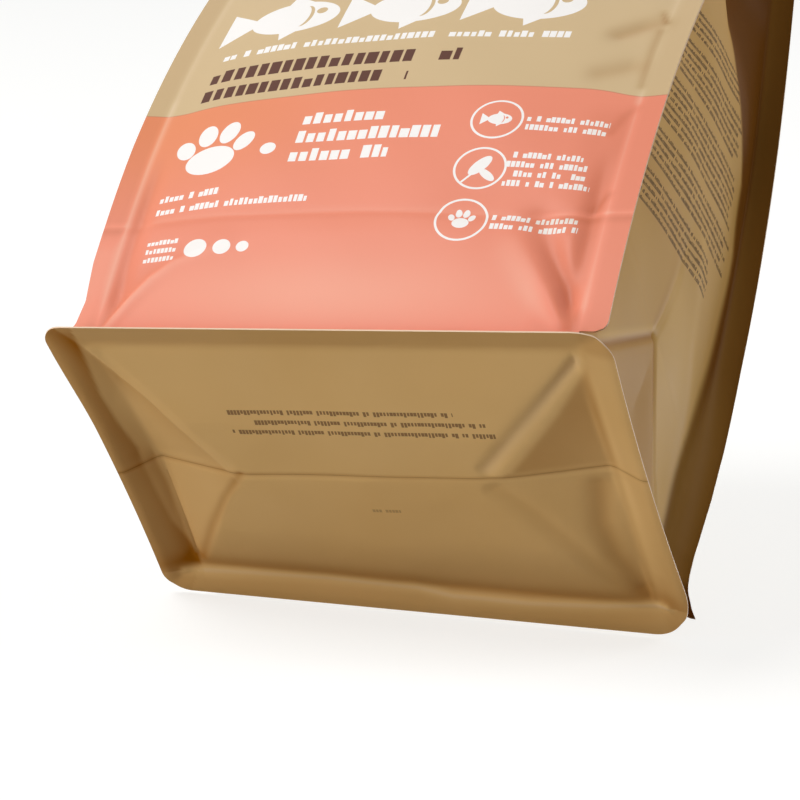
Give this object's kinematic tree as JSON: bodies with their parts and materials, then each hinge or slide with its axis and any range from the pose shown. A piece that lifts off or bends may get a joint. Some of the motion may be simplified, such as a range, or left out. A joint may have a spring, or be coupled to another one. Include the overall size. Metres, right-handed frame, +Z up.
{
  "type": "cat food pouch",
  "caption": "Sealed flat-bottom film pouch of dry cat food, standing upright, with corner fins, sides folded in towards a flat top seal and a sealed rim round its base.",
  "frame": {"origin": "on the table, under the middle of the box round the pouch", "axes": "+Z up to the top seal, the printed front faces -Y, +X to the right seen from the front"},
  "size_m": [0.131, 0.1054, 0.222],
  "materials": {
    "printed_film": "satin matt laminated film, printed in kraft brown and salmon"
  },
  "bodies": {
    "root": {"pouch": "printed_film"}
  },
  "joints": []
}
